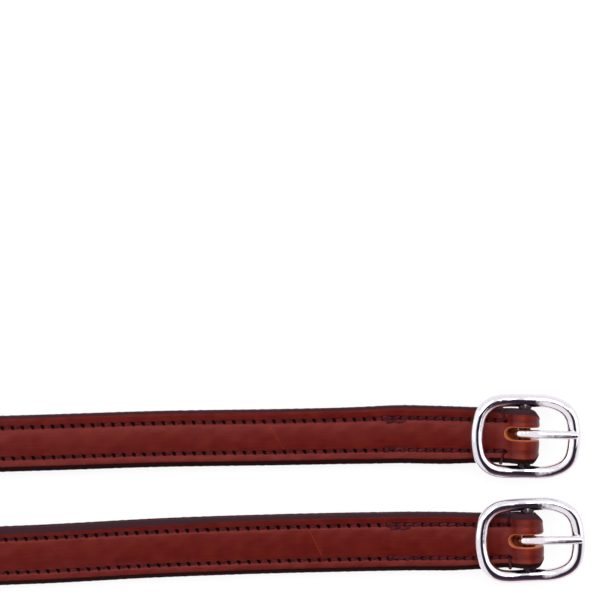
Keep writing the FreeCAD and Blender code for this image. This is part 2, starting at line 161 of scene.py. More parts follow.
# Roughness, refraction, and bump as strength and depth in metres
LEATHER_ROUGH = 0.31
LINING_ROUGH = 0.62
THREAD_ROUGH = 0.5
LEATHER_IOR = 1.56
FRAME_ROUGH = 0.03
TONGUE_ROUGH = 0.04
LEATHER_BUMP = (0.28, 0.00012)
THREAD_BUMP = (0.4, 0.00006)
CHROME_BUMP = (0.16, 0.0004)

# Studio, in metres and watts: panels as name, place, size, power
SHEET_HALF = 3.0
SHEET_Z = -0.0004
SHEET_GLOW = 0.88
PANELS = (
    ("panel_left", (-0.7, 0.25, 0.75), 0.8, 2.6),
    ("panel_right", (0.95, 0.25, 0.75), 0.8, 2.6),
    ("panel_far", (0.12, 0.42, 0.85), 0.45, 1.6),
)
PANEL_AIM = (0.12, 0.0, 0.0)
CAMERA_PLACE = (0.1448, 0.0451, 0.3925)
CAMERA_LENS = 100.0
CAMERA_SENSOR = 36.0

# Colours as 0-255 display values
# The last shade of each set colours both the cracked crease line and the painted highlight on the crest
# over the bar
LEATHER_SHADES = {
    "deep": (84, 8, 5), "warm": (99, 23, 12), "speck": (120, 42, 25), "pore": (50, 6, 4),
    "wear_and_highlight": (148, 58, 24),
}
LINING_SHADES = {
    "deep": (96, 42, 30), "warm": (116, 56, 42), "speck": (134, 74, 56), "pore": (76, 30, 22),
    "wear_and_highlight": (116, 56, 42),
}
RAW_SHADE = (182, 96, 56)
# Awl holes: painted shadow in place of their depth
PAINTED_HOLE_SHADOW = (9, 2, 2)
# Edge dye: the near edge darkened with painted shade, the far edge lightened with painted reflected light
NEAR_EDGE_DYE_SHADED = (15, 3, 4)
FAR_EDGE_DYE_LIT = (58, 36, 42)
MACHINE_SHADES = ((48, 11, 17), (88, 27, 35))
HAND_SHADES = ((48, 12, 18), (86, 28, 36))

# Colours as linear values
LEATHER_SHINE = (1.0, 0.33, 0.31, 1.0)
CHROME_LIGHT = (0.83, 0.795, 0.845, 1)
CHROME_DARK = (0.76, 0.72, 0.78, 1)
# Painted shade on the bar, where it meets the leather and the frame
PAINTED_BAR_SHADE = (0.035, 0.025, 0.03, 1)
SHEET_GREY = (0.14, 0.14, 0.14, 1)
TENT_WHITE = (1.0, 0.985, 1.0, 1)
PATCH_LOW = (0.26, 0.13, 0.14, 1)
PATCH_HIGH = (0.03, 0.022, 0.04, 1)

# Per strap: where its bar is, heading in degrees, the slot's shift, how the turned thread leans,
# its crease (run at the middle, slant, depth, half width of the fold and of its line), scale of
# the stitch rows' distance, and knots of value against run
STRAPS = {
    "1": {
        "bar": (197.2, 13.3),
        "heading": -1.0,
        "slot": 0.7,
        "turn_lean": 0.16,
        "crease": (57.9, 0.55, 0.04, 0.5, 0.14),
        "row_scale": 1.0,
        "offset": [(0, 0.0), (7, 0.12), (22, 0.40), (29, 0.52), (38, 0.24), (57, -0.17), (85, -0.59),
                   (113, -1.47), (170, -3.10), (205, -3.80), (240, -4.0)],
        "roll": [(0, 0.0), (240, 0.0)],
        "width": [(0, 12.7), (7, 12.7), (20, 13.1), (30, 13.1), (46, 12.7), (240, 12.7)],
        "far_round": [(0, 0.5), (240, 0.5)],
    },
    "2": {
        "bar": (198.2, -10.9),
        "heading": 2.5,
        "slot": 0.1,
        "turn_lean": -0.1,
        "crease": (49.7, 0.46, 0.10, 0.45, 0.25),
        "row_scale": 1.055,
        "offset": [(0, 0.0), (7, -0.34), (12, -0.42), (20, -0.36), (30, -0.36), (58, -0.92), (86, -1.88),
                   (116, -3.45), (170, -5.30), (205, -5.85), (240, -6.0)],
        "roll": [(0, 0.0), (7, 0.0), (13, 0.2), (29, 2.0), (52, 4.0), (125, 5.0), (205, 2.0), (240, 0.0)],
        "width": [(0, 12.7), (7, 12.7), (20, 13.15), (120, 13.2), (240, 12.7)],
        "far_round": [(0, 0.5), (20, 0.75), (68, 0.8), (88, 1.1), (118, 1.25), (165, 1.0), (205, 0.5)],
    },
}

LOOP_RISE = 2 * BAR_Z - THICK
BEND_R = (LOOP_END ** 2 + LOOP_RISE ** 2) / (4 * LOOP_RISE)
LOW_CENTRE = (-LOOP_END, THICK + BEND_R)
HIGH_CENTRE = (0.0, 2 * BAR_Z - BEND_R)
FOLD_THICK = LOOP_OUTER_R - LOOP_INNER_R
FOLD_LENGTH = math.pi * FOLD_MIDDLE_R
POINT_R = ((TIP_RUN - POINT_START) ** 2 + (0.5 * WIDTH - TIP_HALF_BLUNT) ** 2) / (
    2 * (0.5 * WIDTH - TIP_HALF_BLUNT)
)


# ---- where the strap runs ----

def smooth(knots, run):
    """Value and slope at run of a smooth curve through the knots."""
    count = len(knots)
    run = min(max(run, knots[0][0]), knots[-1][0])
    slopes = []
    for i in range(count):
        a = knots[max(i - 1, 0)]
        b = knots[min(i + 1, count - 1)]
        inside = 0 < i < count - 1
        slopes.append((b[1] - a[1]) / (b[0] - a[0]) if inside else 0.0)
    for i in range(count - 1):
        if run <= knots[i + 1][0]:
            break
    span = knots[i + 1][0] - knots[i][0]
    t = (run - knots[i][0]) / span
    first, last = knots[i][1], knots[i + 1][1]
    value = (
        (2 * t ** 3 - 3 * t ** 2 + 1) * first
        + (t ** 3 - 2 * t ** 2 + t) * span * slopes[i]
        + (3 * t ** 2 - 2 * t ** 3) * last
        + (t ** 3 - t ** 2) * span * slopes[i + 1]
    )
    slope = (
        (6 * t ** 2 - 6 * t) * (first - last) / span
        + (3 * t ** 2 - 4 * t + 1) * slopes[i]
        + (3 * t ** 2 - 2 * t) * slopes[i + 1]
    )
    return value, slope


def station_frame(strap, run):
    """Middle of the strap at run, with its sideways and upward directions."""
    offset, slope = smooth(strap["offset"], run)
    roll = math.radians(smooth(strap["roll"], run)[0])
    heading = -math.atan(slope)
    width = smooth(strap["width"], run)[0]
    height = 0.5 * THICK * math.cos(roll) + 0.5 * width * abs(math.sin(roll))
    middle = np.array([strap["bar"][0] - run, strap["bar"][1] + offset, height])
    level = np.array([-math.sin(heading), math.cos(heading), 0.0])
    up = np.array([0.0, 0.0, 1.0])
    across = level * math.cos(roll) + up * math.sin(roll)
    upward = up * math.cos(roll) - level * math.sin(roll)
    return middle, across, upward


def side_point(strap, x, z):
    """World position of a point of the buckle end's middle side plane."""
    heading = math.radians(strap["heading"])
    return np.array([
        strap["bar"][0] + x * math.cos(heading), strap["bar"][1] + x * math.sin(heading), z
    ])


def side_across(strap):
    """Sideways direction at the buckle end."""
    heading = math.radians(strap["heading"])
    return np.array([-math.sin(heading), math.cos(heading), 0.0])


def climb(run):
    """Grain and flesh positions (x, z) of the upper leather between the strap and the bar."""
    flat = LOOP_END - run
    if flat <= 0.5 * LOOP_END:
        turn = math.asin(flat / BEND_R)
        direction = (math.sin(turn), -math.cos(turn))
        centre, grain_r, flesh_r = LOW_CENTRE, BEND_R, BEND_R + FOLD_THICK
    else:
        turn = math.asin(run / BEND_R)
        direction = (-math.sin(turn), math.cos(turn))
        centre, grain_r, flesh_r = HIGH_CENTRE, BEND_R, BEND_R - FOLD_THICK
    grain = (centre[0] + grain_r * direction[0], centre[1] + grain_r * direction[1])
    flesh = (centre[0] + flesh_r * direction[0], centre[1] + flesh_r * direction[1])
    return grain, flesh


def plan_half_width(strap, run):
    """Half the strap's width at run; negative runs lie beyond the bar, on the fold."""
    if run > POINT_START:
        ahead = run - POINT_START
        half = math.sqrt(POINT_R ** 2 - ahead ** 2) - (POINT_R - 0.5 * WIDTH)
        if run > TIP_RUN - 1.0:
            half *= math.sqrt(max(0.03, 1 - ((run - TIP_RUN + 1.0) / 1.02) ** 2))
        return half
    wobble = sum(
        height * math.sin(quick * run + quick_phase) * math.sin(slow * run + slow_phase)
        for height, quick, quick_phase, slow, slow_phase in EDGE_WAVES
    )
    if run >= 0:
        return 0.5 * smooth(strap["width"], run)[0] + wobble
    return float(np.interp(-run, FOLD_REACHES, FOLD_HALF_WIDTHS)) + wobble


def edge_round(strap, run, side):
    """How far the rounded edge reaches in from one side of the strap."""
    plain = smooth(strap["far_round"], run)[0] if side > 0 else NEAR_EDGE_ROUND
    return float(np.interp(run, EDGE_EASE_RUNS, [FOLD_EDGE_ROUND, plain]))


def slot_distance(strap, run, across):
    """Distance outside the edge of the tongue's slot, on the upper side of the fold."""
    past = max(run - (SLOT_TOP_RUN - SLOT_HALF), 0.0)
    return np.hypot(past, across - strap["slot"]) - SLOT_HALF


def parting(strap, run):
    """Where across the strap its two halves meet: the middle, or the slot near the bar."""
    share = min(max((16.0 - run) / 8.0, 0.0), 1.0)
    return strap["slot"] * share * share * (3 - 2 * share)


def row_offset(strap, run):
    """Distance of a stitch row from the middle line at run."""
    if run <= POINT_START:
        return ROW_OFFSET * strap["row_scale"] * smooth(strap["width"], run)[0] / WIDTH
    radius = POINT_R - 0.5 * WIDTH + ROW_OFFSET * strap["row_scale"]
    ahead = min(run - POINT_START, radius)
    return math.sqrt(radius ** 2 - ahead ** 2) - (POINT_R - 0.5 * WIDTH)


def stitch_relief(run, from_row, sewn):
    """Groove and puckering of a stitch row, for an array of distances from it."""
    stitch = MACHINE_PITCH if run > TURNBACK_END else HAND_PITCH
    beat = 0.5 + 0.5 * math.cos(2 * math.pi * (run - MACHINE_START) / stitch)
    groove = -(GROOVE_DEEP + BEAT_DEEP * beat) * np.exp(-((from_row / GROOVE_HALF) ** 2))
    pucker = -PUCKER_DEEP * beat * np.exp(-((from_row / PUCKER_HALF) ** 2))
    return (groove + pucker) * sewn


def relief(strap, run, across, half_width):
    """Height of the grain surface over its nominal level, for an array of across values."""
    row = max(row_offset(strap, run), 0.3)
    away = np.abs(across)
    ease = min(max((run - 1.0) / 7.0, 0.0), 1.0)
    inner = -CROWN_DROP * np.minimum(away / row, 1.0) ** 2.2
    reach = max(half_width - NEAR_EDGE_ROUND - row, 0.2)
    outer = MARGIN_RISE * np.clip((away - row) / reach, 0, 1) ** 1.2
    sewn = min(max((run - HAND_START + 0.8) / 0.8, 0.0), 1.0) if row > 0.3 else 0.0
    drift = sum(
        height * np.sin(rate_along * run + rate_across * across + phase)
        for height, rate_along, rate_across, phase in SURFACE_WAVES
    )
    middle, slant, depth, spread, _ = strap["crease"]
    crease = -depth * np.exp(-(((run - middle - slant * across) / spread) ** 2))
    rim = 0.0
    if run <= SLOT_AREA_END:
        outside = np.maximum(slot_distance(strap, run, across), 0)
        rim = -RIM_DEEP * np.exp(-((outside / RIM_FADE) ** 2))
    body = (inner + outer) * (0.35 + 0.65 * ease)
    return body + stitch_relief(run, away - row, sewn) + drift + crease + rim


# ---- meshes ----

def new_mesh(name, verts, faces, attributes, body, replaced, material):
    """Mesh object from millimetre vertices, riding a body and standing for CAD nodes."""
    mesh = bpy.data.meshes.new(name)
    mesh.from_pydata((np.asarray(verts) * MM).tolist(), [], faces)
    for key, values in attributes.items():
        layer = mesh.attributes.new(key, "FLOAT", "POINT")
        layer.data.foreach_set("value", np.asarray(values, dtype=np.float32))
    mesh.polygons.foreach_set("use_smooth", [True] * len(mesh.polygons))
    mesh.validate()
    obj = bpy.data.objects.new(name, mesh)
    bpy.context.scene.collection.objects.link(obj)
    obj.data.materials.append(material)
    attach(obj, body)
    for node in replaced:
        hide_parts(node)
    return obj


def half_section(row, side, thick, grain_columns, flesh_columns):
    """Half of a strip's cross-section, from its parting line on the grain side to that line on
    the flesh side: distance towards that side, share of the thickness, and edge mask."""
    half_width = row["half_width"] + (0.0 if side > 0 else row["spread"])
    start = row["gap"] + side * row["parting"]
    flat_end = max(half_width - row["edge_round"][side], start + 0.05)
    round_off = half_width - flat_end
    u = np.linspace(start, flat_end, grain_columns)
    share = 1 + row["relief"](side * u) / thick
    edge = 0.6 * np.clip((u - flat_end + EDGE_MASK_REACH) / EDGE_MASK_REACH, 0, 1)
    angles = np.linspace(0, 0.5 * math.pi, 7)[1:]
    arc_u = flat_end + round_off * np.sin(angles)
    arc_share = share[-1] - (0.75 * round_off / thick) * (1 - np.cos(angles))
    wall_share = np.linspace(arc_share[-1], FOOT_HEIGHT / thick, 5)[1:]
    wall_u = half_width + WALL_BULGE * np.sin(np.linspace(0, math.pi, 5)[1:])
    foot_u = [half_width - WALL_BULGE, half_width - FOOT_INSET]
    foot_share = [0.035 / thick, 0.0]
    flesh_u = np.linspace(half_width - FOOT_INSET, start, flesh_columns + 1)[1:]
    across = np.concatenate([u, arc_u, wall_u, foot_u, flesh_u])
    shares = np.concatenate([share, arc_share, wall_share, foot_share, np.zeros(flesh_columns)])
    edges = np.concatenate([edge, np.ones(len(arc_u) + len(wall_u) + 2), np.zeros(flesh_columns)])
    return across, shares, edges


def strip_mesh(rows, grain_columns, flesh_columns):
    """Closed strip swept through rows, as vertices, faces and point attributes."""
    verts, faces = [], []
    keys = ("along", "cross", "edge", "cut", "row_x", "row_y", "slot_y", "crease_x")
    attributes = {key: [] for key in keys}
    previous = None
    rings = []
    for row in rows:
        thick = float(np.linalg.norm(row["grain"] - row["flesh"]))
        halves = []
        for side in (1, -1):
            across, shares, edges = half_section(row, side, thick, grain_columns, flesh_columns)
            count = len(across)
            opening = row["gap"] + side * row["parting"]
            start = len(verts)
            indices = list(range(start, start + count))
            for k in range(count):
                if side < 0 and row["gap"] <= 0 and k in (0, count - 1):
                    indices[k] = halves[0][k]
            made = [k for k in range(count) if not (side < 0 and indices[k] < start)]
            for n, k in enumerate(made):
                indices[k] = start + n
                verts.append(
                    row["flesh"] + (row["grain"] - row["flesh"]) * shares[k]
                    + row["across"] * (side * across[k])
                )
                crease_run, slant, _, _, line = row["crease"]
                near_cut = row["gap"] > 0 and (across[k] - opening) < 0.02
                values = (
                    row["along"], side * across[k], edges[k], 1.0 if near_cut else 0.0, row["row_x"],
                    side * (across[k] - row["row_offset"]), side * across[k] - row["slot"],
                    (row["row_x"] - crease_run - slant * side * across[k]) / line,
                )
                for key, value in zip(keys, values):
                    attributes[key].append(value)
            halves.append(indices)
        if previous is not None:
            last_halves, last_gap = previous
            for h in (0, 1):
                a, b = last_halves[h], halves[h]
                for k in range(count - 1):
                    faces.append((a[k], a[k + 1], b[k + 1], b[k]))
                if last_gap > 0 or row["gap"] > 0:
                    faces.append((a[count - 1], a[0], b[0], b[count - 1]))
        rings.append(halves)
        previous = (halves, row["gap"])
    for halves in (rings[0], rings[-1]):
        loop = list(halves[0]) + list(reversed(halves[1]))
        cap = [i for n, i in enumerate(loop) if i not in loop[:n]]
        faces.append(tuple(cap))
    return verts, faces, attributes


def fix_normals(obj):
    """Point every face outwards."""
    work = bmesh.new()
    work.from_mesh(obj.data)
    bmesh.ops.recalc_face_normals(work, faces=work.faces)
    work.to_mesh(obj.data)
    work.free()


def gap_at(run, under):
    """Half width of the slot or hole crossed at run."""
    centre = SLOT_UNDER_RUN - SLOT_HALF if under else SLOT_TOP_RUN - SLOT_HALF
    if run <= centre:
        return SLOT_HALF
    if run < centre + SLOT_HALF:
        return math.sqrt(SLOT_HALF ** 2 - (run - centre) ** 2)
    for i in range(HOLE_COUNT):
        away = abs(run - FIRST_HOLE - i * HOLE_PITCH)
        if away < HOLE_R:
            return math.sqrt(HOLE_R ** 2 - away ** 2)
    return 0.0


def run_list(first, last, step, under):
    """Runs to place rows at, closer together round the rounded end of a slot or hole."""
    centre = SLOT_UNDER_RUN - SLOT_HALF if under else SLOT_TOP_RUN - SLOT_HALF
    arcs = [(centre, SLOT_HALF, 0.0, 0.5 * math.pi)]
    arcs += [(FIRST_HOLE + i * HOLE_PITCH, HOLE_R, 0.0, math.pi) for i in range(HOLE_COUNT)]
    runs = list(np.arange(first, last, step)) + [last]
    for middle, radius, start, end in arcs:
        low = middle - radius if end > 2 else middle
        runs = [r for r in runs if not (low - 0.12 < r < middle + radius + 0.12)]
        runs += [middle + radius * math.cos(a) for a in np.linspace(start, end, 15)]
    return sorted(r for r in runs if first - 1e-9 <= r <= last + 1e-9)


def near_spread(run):
    """How much further the near edge reaches out, fading at both ends of the strap."""
    past_fold = min(max((run - SPREAD_EASE_RUN) / 10, 0.0), 1.0)
    before_tip = min(max((TIP_RUN - run) / 20, 0.0), 1.0)
    return NEAR_SPREAD * past_fold * before_tip


def make_row(strap, grain, flesh, across, run, along, under):
    """One cross-section of a strip."""
    half_width = plan_half_width(strap, run)
    depth = UNDER_RELIEF if under else 1.0
    rounds = {side: UNDER_EDGE_ROUND if under else edge_round(strap, run, side) for side in (1, -1)}

    def level(u):
        return depth * relief(strap, run, u, half_width)

    return {
        "grain": grain, "flesh": flesh, "across": across,
        "half_width": half_width, "gap": gap_at(run, under), "parting": parting(strap, run),
        "edge_round": rounds, "spread": near_spread(run), "relief": level,
        "along": along, "row_x": run, "row_offset": row_offset(strap, run),
        "slot": strap["slot"], "crease": strap["crease"],
    }


def flat_row(strap, run, along, under):
    """Cross-section where the strap lies flat; an under one has its seen side facing down."""
    middle, across, upward = station_frame(strap, run)
    seen = middle + upward * (-0.5 * THICK if under else 0.5 * THICK)
    glued = middle + upward * (0.5 * THICK - OUTER_THICK)
    return make_row(strap, seen, glued, across, run, along, under)


def fold_row(strap, i):
    """Cross-section at one turn of the fold round the bar."""
    angle = math.radians(90 - 180 * i / FOLD_TURNS)
    x, z = math.cos(angle), math.sin(angle)
    grain = side_point(strap, LOOP_OUTER_R * x, BAR_Z + LOOP_OUTER_R * z)
    flesh = side_point(strap, LOOP_INNER_R * x, BAR_Z + LOOP_INNER_R * z)
    along = FOLD_LENGTH * i / FOLD_TURNS
    row = make_row(
        strap, grain, flesh, side_across(strap), -LOOP_OUTER_R * x, along, i > FOLD_TURNS / 2
    )
    row["edge_round"] = {1: FOLD_EDGE_ROUND, -1: FOLD_EDGE_ROUND}
    row["gap"] = SLOT_HALF
    return row


def outer_rows(strap, step):
    """Rows of the outer leather from the tip, over the fold and back to the glued end."""
    across = side_across(strap)
    runs = run_list(LOOP_END, TIP_RUN, step, False)
    rows = [flat_row(strap, run, -run, False) for run in reversed(runs)]
    for run in reversed(run_list(0.0, LOOP_END - 0.15, FOLD_STEP, False)):
        grain, flesh = climb(run)
        rows.append(make_row(
            strap, side_point(strap, *grain), side_point(strap, *flesh), across, run, -run, False
        ))
    rows += [fold_row(strap, i) for i in range(1, FOLD_TURNS)]
    for run in run_list(0.0, LOOP_END - 0.15, FOLD_STEP, True):
        flesh_z = 2 * BAR_Z - LOOP_OUTER_R - LOOP_INNER_R
        flesh_z += (LINING_THICK - flesh_z) * min(run / CAVITY_RUN, 1.0)
        rows.append(make_row(
            strap, side_point(strap, -run, 0.0), side_point(strap, -run, flesh_z), across, run,
            FOLD_LENGTH + run, True,
        ))
    rows += [
        flat_row(strap, run, FOLD_LENGTH + run, True)
        for run in run_list(LOOP_END, TURNBACK_END, 0.3, True)
    ]
    return rows


def lining_rows(strap, step):
    """Rows of the lining from the glued end to the tip."""
    rows = []
    for run in run_list(TURNBACK_END + 0.12, TIP_RUN, step, False):
        rows.append(flat_row(strap, run, run, True))
        rows[-1]["gap"] = gap_at(run, False)
    return rows


# ---- stitching ----

def surface_point(strap, run, across, lift, under=False):
    """World point over the strap's surface, lift millimetres above it."""
    half_width = plan_half_width(strap, run)
    height = float(relief(strap, run, np.array([across]), half_width)[0])
    if under:
        height *= UNDER_RELIEF
    if run >= LOOP_END:
        middle, sideways, upward = station_frame(strap, run)
        sign = -1 if under else 1
        return middle + upward * (sign * (0.5 * THICK + height + lift)) + sideways * across
    if under:
        return side_point(strap, -run, -height - lift) + side_across(strap) * across
    grain, flesh = climb(run)
    grain_point = side_point(strap, *grain)
    normal = grain_point - side_point(strap, *flesh)
    normal = normal / np.linalg.norm(normal)
    return grain_point + normal * (height + lift) + side_across(strap) * across


def tube(points, radii, sides, ply_depth, ply_length, flatten, up):
    """Thread along points: three plies twisted together, as vertices and faces."""
    points = np.asarray(points, dtype=float)
    verts, faces = [], []
    travelled = 0.0
    for i, point in enumerate(points):
        ahead = points[min(i + 1, len(points) - 1)] - points[max(i - 1, 0)]
        ahead = ahead / max(np.linalg.norm(ahead), 1e-9)
        side = np.cross(ahead, up)
        side = side / max(np.linalg.norm(side), 1e-9)
        over = np.cross(side, ahead)
        if i:
            travelled += np.linalg.norm(point - points[i - 1])
        for k in range(sides):
            angle = 2 * math.pi * k / sides
            twist = angle - 2 * math.pi * travelled / ply_length
            ply = 1 + ply_depth * (abs(math.cos(1.5 * twist)) - 0.6)
            offset = side * math.cos(angle) + over * (math.sin(angle) * flatten)
            verts.append(point + offset * (radii[i] * ply))
    for i in range(len(points) - 1):
        for k in range(sides):
            a = i * sides + k
            b = i * sides + (k + 1) % sides
            faces.append((a, b, b + sides, a + sides))
    faces.append(tuple(range(sides - 1, -1, -1)))
    last = (len(points) - 1) * sides
    faces.append(tuple(range(last, last + sides)))
    return verts, faces


def join(pieces):
    """One vertex and face list from several."""
    verts, faces = [], []
    for piece_verts, piece_faces in pieces:
        start = len(verts)
        verts.extend(piece_verts)
        faces.extend(tuple(i + start for i in face) for face in piece_faces)
    return verts, faces


def row_path(strap):
    """Stitch row as runs and distances from the middle line, with the length along it."""
    runs = list(np.arange(HAND_START, POINT_START, 0.5)) + list(np.arange(POINT_START, TIP_RUN, 0.05))
    runs = [r for r in runs if row_offset(strap, r) > 0.45]
    offsets = [row_offset(strap, r) for r in runs]
    lengths = np.concatenate([[0], np.cumsum(np.hypot(np.diff(runs), np.diff(offsets)))])
    return np.array(runs), np.array(offsets), lengths


def machine_stitches(strap, side, under, rng):
    """Stitches of one machine row."""
    runs, offsets, lengths = row_path(strap)
    start = MACHINE_START - HAND_START
    count = int((lengths[-1] - start) / MACHINE_PITCH)
    places = start + np.arange(count + 1) * MACHINE_PITCH
    at_run = np.interp(places, lengths, runs)
    at_row = np.interp(places, lengths, offsets)
    pieces = []
    for i in range(count):
        slant = 0.0 if under else MACHINE_SLANT
        jitter = rng.normal(0, MACHINE_SPREAD, 3)
        points, radii = [], []
        for k in range(MACHINE_STEPS + 1):
            t = k / MACHINE_STEPS
            run = at_run[i] + (at_run[i + 1] - at_run[i]) * (MACHINE_SPAN[0] + MACHINE_SPAN[1] * t)
            row = side * (at_row[i] + (at_row[i + 1] - at_row[i]) * t)
            row += slant * (1 - 2 * t) + jitter[0]
            arch = math.sin(math.pi * t) ** 0.6
            lift = -MACHINE_SINK + (MACHINE_ARCH + 0.5 * jitter[1]) * arch
            points.append(surface_point(strap, run, row, lift, under))
            radii.append(MACHINE_R * (0.86 + 0.14 * arch + 0.3 * jitter[2]))
        up = station_frame(strap, at_run[i])[2] * (-1 if under else 1)
        sides = 10 if under else 16
        pieces.append(tube(points, radii, sides, PLY_DEEP, MACHINE_TWIST, 0.8, up))
    return join(pieces)


def hand_stitches(strap, side, rng):
    """Hand stitching of one row: top, underside, the turn over the edge and the back-tack."""
    count = int((HAND_END - HAND_START) / HAND_PITCH)
    places = [HAND_START + i * HAND_PITCH for i in range(count + 1)]
    pieces = []
    for under in (False, True):
        for i in range(count):
            slant = HAND_UNDER_SLANT if under else HAND_SLANT
            jitter = rng.normal(0, HAND_SPREAD, 3)
            points, radii = [], []
            for k in range(HAND_STEPS + 1):
                t = k / HAND_STEPS
                run = places[i] + HAND_PITCH * (HAND_SPAN[0] + HAND_SPAN[1] * t) + jitter[0]
                row = side * row_offset(strap, run) + slant * (1 - 2 * t)
                arch = math.sin(math.pi * t) ** 0.6
                lift = -HAND_SINK + (HAND_ARCH + 0.5 * jitter[1]) * arch
                points.append(surface_point(strap, run, row, lift, under))
                radii.append(HAND_R * (0.84 + 0.16 * arch + 0.3 * jitter[2]))
            up = np.array([0.0, 0.0, -1.0 if under else 1.0])
            pieces.append(tube(points, radii, 16, PLY_DEEP, HAND_TWIST, 0.8, up))
    pieces.append(edge_turn(strap, side))
    pieces += back_tack(strap, side, rng)
    return join(pieces)


def edge_turn(strap, side):
    """Thread from the last hole out over the edge of the leather and back underneath."""
    lean = 3 * strap["turn_lean"]
    half_width = plan_half_width(strap, HAND_START)
    top, under = [], []
    for t in np.linspace(0, 1, 12):
        across = ROW_OFFSET + (half_width - 0.25 - ROW_OFFSET) * t
        lift = -0.34 + 0.40 * math.sin(0.5 * math.pi * min(1.0, t * 2.5))
        top.append(surface_point(strap, HAND_START + lean * t, side * across, lift))
        under.append(surface_point(strap, HAND_START + lean * (2 - t), side * across, lift, True))
    start, end = top[-1], under[-1]
    outward = side_across(strap) * side
    wall = []
    for t in np.linspace(0, 1, 9)[1:-1]:
        bulge = TURN_BULGE * math.sin(math.pi * t) ** 0.5
        wall.append(start + (end - start) * t + outward * bulge)
    points = top + wall + list(reversed(under))
    radii = [HAND_R * 0.92] * len(points)
    forward = side_point(strap, 1, 0) - side_point(strap, 0, 0)
    return tube(points, radii, 14, LOOSE_PLY_DEEP, HAND_TWIST, 0.9, forward)


def back_tack(strap, side, rng):
    """Extra thread and knots where the machine row overlaps the hand row."""
    pieces = []
    straight_up = np.array([0.0, 0.0, 1.0])
    shift, spans, knot_runs = BACK_TACKS[side]
    for start, end in spans:
        points, radii = [], []
        for t in np.linspace(0, 1, 10):
            run = start + (end - start) * t
            row = side * row_offset(strap, run) + shift + 0.2 * (1 - 2 * t) + 0.03 * rng.normal()
            arch = math.sin(math.pi * t) ** 0.5
            points.append(surface_point(strap, run, row, -0.25 + 0.42 * arch))
            radii.append(HAND_R * (0.75 + 0.2 * arch))
        pieces.append(tube(points, radii, 14, LOOSE_PLY_DEEP, TACK_TWIST, 0.85, straight_up))
    for knot_run in knot_runs:
        knot_row = side * row_offset(strap, knot_run) + 0.1
        points = []
        for t in np.linspace(0, 1, 26):
            angle = 2 * math.pi * KNOT_TURNS * t
            run = knot_run + KNOT_R * math.cos(angle)
            points.append(surface_point(strap, run, knot_row + KNOT_R * math.sin(angle), 0.12 + 0.32 * t))
        radii = [HAND_R * 0.8] * len(points)
        pieces.append(tube(points, radii, 12, LOOSE_PLY_DEEP, TACK_TWIST, 0.9, straight_up))
    return pieces


def lip_value(key):
    """Value of a point attribute on the lip in the slot: bare leather, clear of every mark."""
    return {"row_x": 9.0, "slot_y": 9.0, "crease_x": 9.0, "cut": 1.0}.get(key, 0.0)


def slot_lip(strap):
    """Thin lip of the turned-back leather that closes in under the tongue's curl."""
    end = -SLOT_LIP_RUN + SLOT_HALF
    angles = np.linspace(-1.45, 1.45, 25)
    rim = [(end - SLOT_HALF * math.cos(a), SLOT_HALF * math.sin(a)) for a in angles]
    outline = rim + [(-CAVITY_RUN, SLOT_HALF + 0.3), (-CAVITY_RUN, -SLOT_HALF - 0.3)]
    verts, faces = [], []
    for z in (0.25, SLOT_LIP_Z):
        for x, y in outline:
            verts.append(side_point(strap, x, z) + side_across(strap) * (y + strap["slot"]))
    count = len(outline)
    faces.append(tuple(range(count)))
    faces.append(tuple(range(2 * count - 1, count - 1, -1)))
    for k in range(count):
        following = (k + 1) % count
        faces.append((k, k + count, following + count, following))
    return verts, faces


def build_leather(name, strap, step, leather, lining):
    """Outer leather, with its lip in the slot, and lining of one strap."""
    verts, faces, attributes = strip_mesh(outer_rows(strap, step), *OUTER_COLUMNS)
    lip_verts, lip_faces = slot_lip(strap)
    faces.extend(tuple(i + len(verts) for i in face) for face in lip_faces)
    verts.extend(lip_verts)
    for key, values in attributes.items():
        values.extend([lip_value(key)] * len(lip_verts))
    outer = new_mesh(
        "outer_leather_look_" + name, verts, faces, attributes, "strap_" + name,
        ["outer_leather_" + name], leather,
    )
    fix_normals(outer)
    verts, faces, attributes = strip_mesh(lining_rows(strap, 1.6 * step), *LINING_COLUMNS)
    under = new_mesh(
        "lining_look_" + name, verts, faces, attributes, "strap_" + name,
        ["lining_leather_" + name], lining,
    )
    fix_normals(under)


def build_threads(name, strap, machine, hand):
    """Every thread of one strap, one mesh per thread."""
    rng = np.random.default_rng(SEED + int(name))
    for row, side in (("far", 1), ("near", -1)):
        for kind, under in (("needle", False), ("bobbin", True)):
            verts, faces = machine_stitches(strap, side, under, rng)
            node = kind + "_thread_" + row + "_" + name
            obj = new_mesh(
                node + "_look", verts, faces, {}, "strap_" + name, [node], machine
            )
            fix_normals(obj)
        node = "turnback_thread_" + row + "_" + name
        verts, faces = hand_stitches(strap, side, rng)
        obj = new_mesh(node + "_look", verts, faces, {}, "strap_" + name, [node], hand)
        fix_normals(obj)


# ---- materials ----

